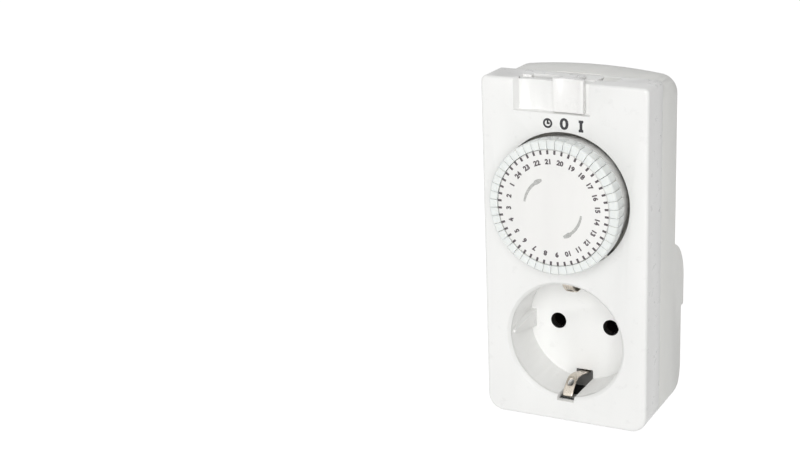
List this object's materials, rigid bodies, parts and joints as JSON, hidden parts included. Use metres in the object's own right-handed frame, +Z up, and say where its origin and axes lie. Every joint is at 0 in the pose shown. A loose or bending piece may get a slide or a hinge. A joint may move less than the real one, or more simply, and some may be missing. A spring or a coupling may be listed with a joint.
{
  "type": "plug in timer switch",
  "caption": "Plug in mechanical timer switch with a daily tappet dial, a slide selector, an earthed round socket in front and a round plug behind.",
  "frame": {"origin": "on the axis of the plug and socket, in the plane that rests on the wall", "axes": "+X right seen from the front, +Y into the wall along the plug, +Z up"},
  "size_m": [0.0568, 0.0823, 0.1164],
  "materials": {
    "white_housing": "smooth satin gloss",
    "white_socket": "smooth satin gloss",
    "white_dial": "smooth, printed scale",
    "white_knob": "smooth gloss",
    "pale_tappet": "slightly translucent",
    "natural_plastic": "moulded acetal",
    "black_plastic": "moulded",
    "spring_brass": "rolled strip",
    "contact_brass": "rolled strip",
    "nickel_plate": "nickel plated",
    "screw_steel": "zinc plated",
    "motor_can": "drawn can"
  },
  "bodies": {
    "housing": {"front_cover": "white_housing", "rear_shell": "white_housing", "socket_insert": "white_socket", "earth_clip_upper": "spring_brass", "earth_clip_lower": "spring_brass", "earth_bridge": "spring_brass", "plug_earth_strip_upper": "nickel_plate", "plug_earth_strip_lower": "nickel_plate", "plug_pin_left": "nickel_plate", "plug_pin_right": "nickel_plate", "contact_sleeve_left": "contact_brass", "contact_sleeve_right": "contact_brass", "live_busbar": "contact_brass", "switched_busbar": "contact_brass", "neutral_busbar": "contact_brass", "movement_plate": "natural_plastic", "movement_screws": "screw_steel", "synchronous_motor": "motor_can", "motor_screws": "screw_steel", "reduction_axle": "screw_steel", "lever_pin": "screw_steel", "microswitch_body": "black_plastic", "selector_terminals": "contact_brass", "detent_spring": "screw_steel", "housing_screws": "screw_steel"},
    "dial": {"program_dial": "white_dial", "dial_gear": "natural_plastic", "dial_retaining_ring": "screw_steel"},
    "reduction_gear": {"reduction_gear": "natural_plastic"},
    "motor_rotor": {"motor_pinion": "natural_plastic"},
    "selector": {"selector_knob": "white_knob", "selector_cam": "natural_plastic", "selector_contact": "contact_brass"},
    "feeler": {"feeler_lever": "natural_plastic"},
    "switch_plunger": {"microswitch_plunger": "natural_plastic"},
    "tappets_hour_01": {"tappets_hour_01": "pale_tappet"},
    "tappets_hour_02": {"tappets_hour_02": "pale_tappet"},
    "tappets_hour_03": {"tappets_hour_03": "pale_tappet"},
    "tappets_hour_04": {"tappets_hour_04": "pale_tappet"},
    "tappets_hour_05": {"tappets_hour_05": "pale_tappet"},
    "tappets_hour_06": {"tappets_hour_06": "pale_tappet"},
    "tappets_hour_07": {"tappets_hour_07": "pale_tappet"},
    "tappets_hour_08": {"tappets_hour_08": "pale_tappet"},
    "tappets_hour_09": {"tappets_hour_09": "pale_tappet"},
    "tappets_hour_10": {"tappets_hour_10": "pale_tappet"},
    "tappets_hour_11": {"tappets_hour_11": "pale_tappet"},
    "tappets_hour_12": {"tappets_hour_12": "pale_tappet"},
    "tappets_hour_13": {"tappets_hour_13": "pale_tappet"},
    "tappets_hour_14": {"tappets_hour_14": "pale_tappet"},
    "tappets_hour_15": {"tappets_hour_15": "pale_tappet"},
    "tappets_hour_16": {"tappets_hour_16": "pale_tappet"},
    "tappets_hour_17": {"tappets_hour_17": "pale_tappet"},
    "tappets_hour_18": {"tappets_hour_18": "pale_tappet"},
    "tappets_hour_19": {"tappets_hour_19": "pale_tappet"},
    "tappets_hour_20": {"tappets_hour_20": "pale_tappet"},
    "tappets_hour_21": {"tappets_hour_21": "pale_tappet"},
    "tappets_hour_22": {"tappets_hour_22": "pale_tappet"},
    "tappets_hour_23": {"tappets_hour_23": "pale_tappet"},
    "tappets_hour_24": {"tappets_hour_24": "pale_tappet"}
  },
  "joints": [
    {"name": "dial_turn", "type": "hinge", "parent": "housing", "child": "dial", "pos_m": [0, -0.0373, 0.0485], "axis": [0, 1, 0], "continuous": true},
    {"name": "reduction_turn", "type": "hinge", "parent": "housing", "child": "reduction_gear", "pos_m": [0.0099, -0.03, 0.0584], "axis": [0, 1, 0], "continuous": true},
    {"name": "motor_turn", "type": "hinge", "parent": "housing", "child": "motor_rotor", "pos_m": [0.00589, -0.03, 0.06971], "axis": [0, 1, 0], "continuous": true},
    {"name": "selector_slide", "type": "slide", "parent": "housing", "child": "selector", "axis": [1, 0, 0], "range_m": [-0.0114, 0]},
    {"name": "feeler_swing", "type": "hinge", "parent": "housing", "child": "feeler", "pos_m": [-0.01918, -0.0304, 0.03394], "axis": [-1, 0, 0], "range_deg": [0, 9.64]},
    {"name": "plunger_press", "type": "slide", "parent": "housing", "child": "switch_plunger", "axis": [0, 1, 0], "range_m": [0, 0.0014]},
    {"name": "press_hour_01", "type": "slide", "parent": "dial", "child": "tappets_hour_01", "axis": [0, 1, 0], "range_m": [0, 0.0025]},
    {"name": "press_hour_02", "type": "slide", "parent": "dial", "child": "tappets_hour_02", "axis": [0, 1, 0], "range_m": [0, 0.0025]},
    {"name": "press_hour_03", "type": "slide", "parent": "dial", "child": "tappets_hour_03", "axis": [0, 1, 0], "range_m": [0, 0.0025]},
    {"name": "press_hour_04", "type": "slide", "parent": "dial", "child": "tappets_hour_04", "axis": [0, 1, 0], "range_m": [0, 0.0025]},
    {"name": "press_hour_05", "type": "slide", "parent": "dial", "child": "tappets_hour_05", "axis": [0, 1, 0], "range_m": [0, 0.0025]},
    {"name": "press_hour_06", "type": "slide", "parent": "dial", "child": "tappets_hour_06", "axis": [0, 1, 0], "range_m": [0, 0.0025]},
    {"name": "press_hour_07", "type": "slide", "parent": "dial", "child": "tappets_hour_07", "axis": [0, 1, 0], "range_m": [0, 0.0025]},
    {"name": "press_hour_08", "type": "slide", "parent": "dial", "child": "tappets_hour_08", "axis": [0, 1, 0], "range_m": [0, 0.0025]},
    {"name": "press_hour_09", "type": "slide", "parent": "dial", "child": "tappets_hour_09", "axis": [0, 1, 0], "range_m": [0, 0.0025]},
    {"name": "press_hour_10", "type": "slide", "parent": "dial", "child": "tappets_hour_10", "axis": [0, 1, 0], "range_m": [0, 0.0025]},
    {"name": "press_hour_11", "type": "slide", "parent": "dial", "child": "tappets_hour_11", "axis": [0, 1, 0], "range_m": [0, 0.0025]},
    {"name": "press_hour_12", "type": "slide", "parent": "dial", "child": "tappets_hour_12", "axis": [0, 1, 0], "range_m": [0, 0.0025]},
    {"name": "press_hour_13", "type": "slide", "parent": "dial", "child": "tappets_hour_13", "axis": [0, 1, 0], "range_m": [0, 0.0025]},
    {"name": "press_hour_14", "type": "slide", "parent": "dial", "child": "tappets_hour_14", "axis": [0, 1, 0], "range_m": [0, 0.0025]},
    {"name": "press_hour_15", "type": "slide", "parent": "dial", "child": "tappets_hour_15", "axis": [0, 1, 0], "range_m": [0, 0.0025]},
    {"name": "press_hour_16", "type": "slide", "parent": "dial", "child": "tappets_hour_16", "axis": [0, 1, 0], "range_m": [0, 0.0025]},
    {"name": "press_hour_17", "type": "slide", "parent": "dial", "child": "tappets_hour_17", "axis": [0, 1, 0], "range_m": [0, 0.0025]},
    {"name": "press_hour_18", "type": "slide", "parent": "dial", "child": "tappets_hour_18", "axis": [0, 1, 0], "range_m": [0, 0.0025]},
    {"name": "press_hour_19", "type": "slide", "parent": "dial", "child": "tappets_hour_19", "axis": [0, 1, 0], "range_m": [0, 0.0025]},
    {"name": "press_hour_20", "type": "slide", "parent": "dial", "child": "tappets_hour_20", "axis": [0, 1, 0], "range_m": [0, 0.0025]},
    {"name": "press_hour_21", "type": "slide", "parent": "dial", "child": "tappets_hour_21", "axis": [0, 1, 0], "range_m": [0, 0.0025]},
    {"name": "press_hour_22", "type": "slide", "parent": "dial", "child": "tappets_hour_22", "axis": [0, 1, 0], "range_m": [0, 0.0025]},
    {"name": "press_hour_23", "type": "slide", "parent": "dial", "child": "tappets_hour_23", "axis": [0, 1, 0], "range_m": [0, 0.0025]},
    {"name": "press_hour_24", "type": "slide", "parent": "dial", "child": "tappets_hour_24", "axis": [0, 1, 0], "range_m": [0, 0.0025]}
  ],
  "couplings": [
    {"joint": "reduction_turn", "follows": "dial_turn", "ratio": -6},
    {"joint": "motor_turn", "follows": "dial_turn", "ratio": 24},
    {"joint": "feeler_swing", "follows": "press_hour_02", "rad_per_m": 65.224},
    {"joint": "plunger_press", "follows": "press_hour_02", "ratio": 0.513}
  ]
}
